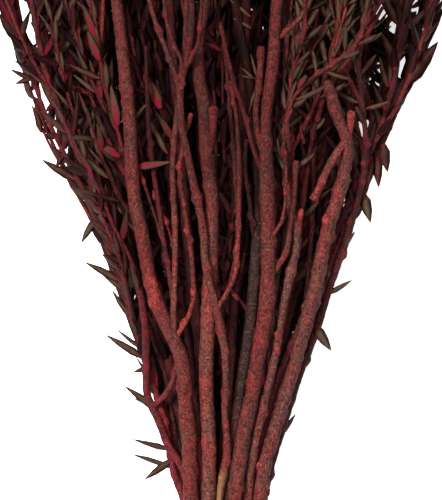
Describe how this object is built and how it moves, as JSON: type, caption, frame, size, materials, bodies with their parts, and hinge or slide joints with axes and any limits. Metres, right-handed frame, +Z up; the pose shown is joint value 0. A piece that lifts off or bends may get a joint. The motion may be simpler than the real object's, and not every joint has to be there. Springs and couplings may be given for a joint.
{
  "type": "bunch of preserved phylica",
  "caption": "Tied bunch of dried, dyed shrub stems with small rolled leaves, pruned twigs and feathery flower heads, lying on its side as a table or shelf decoration.",
  "frame": {"origin": "middle of the bounding box's underside, on the surface that the bunch lies on", "axes": "+Y from the cut ends to the tips, +X across the bunch, +Z up from the surface"},
  "size_m": [0.2136, 0.4816, 0.116],
  "materials": {
    "bark": "granular dyed bark, matt",
    "dark_bark": "dark smooth bark, slightly glossy",
    "young_bark": "crimson dyed young shoot, matt, with olive-brown leaves",
    "plume": "dyed hairy bracts, matt",
    "rubber_band": "natural rubber, satin"
  },
  "bodies": {
    "root": {"stem_01": "bark", "stem_02": "bark", "stem_03": "bark", "stem_04": "dark_bark", "stem_05": "bark", "stem_06": "bark", "stem_07": "bark", "stem_08": "young_bark", "stem_09": "young_bark", "stem_10": "young_bark", "stem_11": "young_bark", "stem_12": "young_bark", "stem_13": "young_bark", "stem_14": "young_bark", "stem_15": "bark", "stem_16": "bark", "stem_17": "bark", "stem_18": "bark", "stem_19": "bark", "stem_20": "bark", "stem_21": "bark", "stem_22": "bark", "stem_23": "bark", "stem_24": "bark", "stem_25": "bark", "stem_26": "bark", "stem_27": "bark", "stem_28": "bark", "flower_head_01": "plume", "flower_head_02": "plume", "flower_head_03": "plume", "flower_head_04": "plume", "flower_head_05": "plume", "flower_head_06": "plume", "flower_head_07": "plume", "flower_head_08": "plume", "flower_head_09": "plume", "flower_head_10": "plume", "flower_head_11": "plume", "flower_head_12": "plume", "flower_head_13": "plume", "flower_head_14": "plume", "flower_head_15": "plume", "flower_head_16": "plume", "flower_head_17": "plume", "flower_head_18": "plume", "flower_head_19": "plume", "flower_head_20": "plume", "flower_head_21": "plume", "flower_head_22": "plume", "flower_head_23": "plume", "flower_head_24": "plume", "flower_head_25": "plume", "flower_head_26": "plume", "flower_head_27": "plume", "flower_head_28": "plume", "tie_band": "rubber_band"}
  },
  "joints": []
}
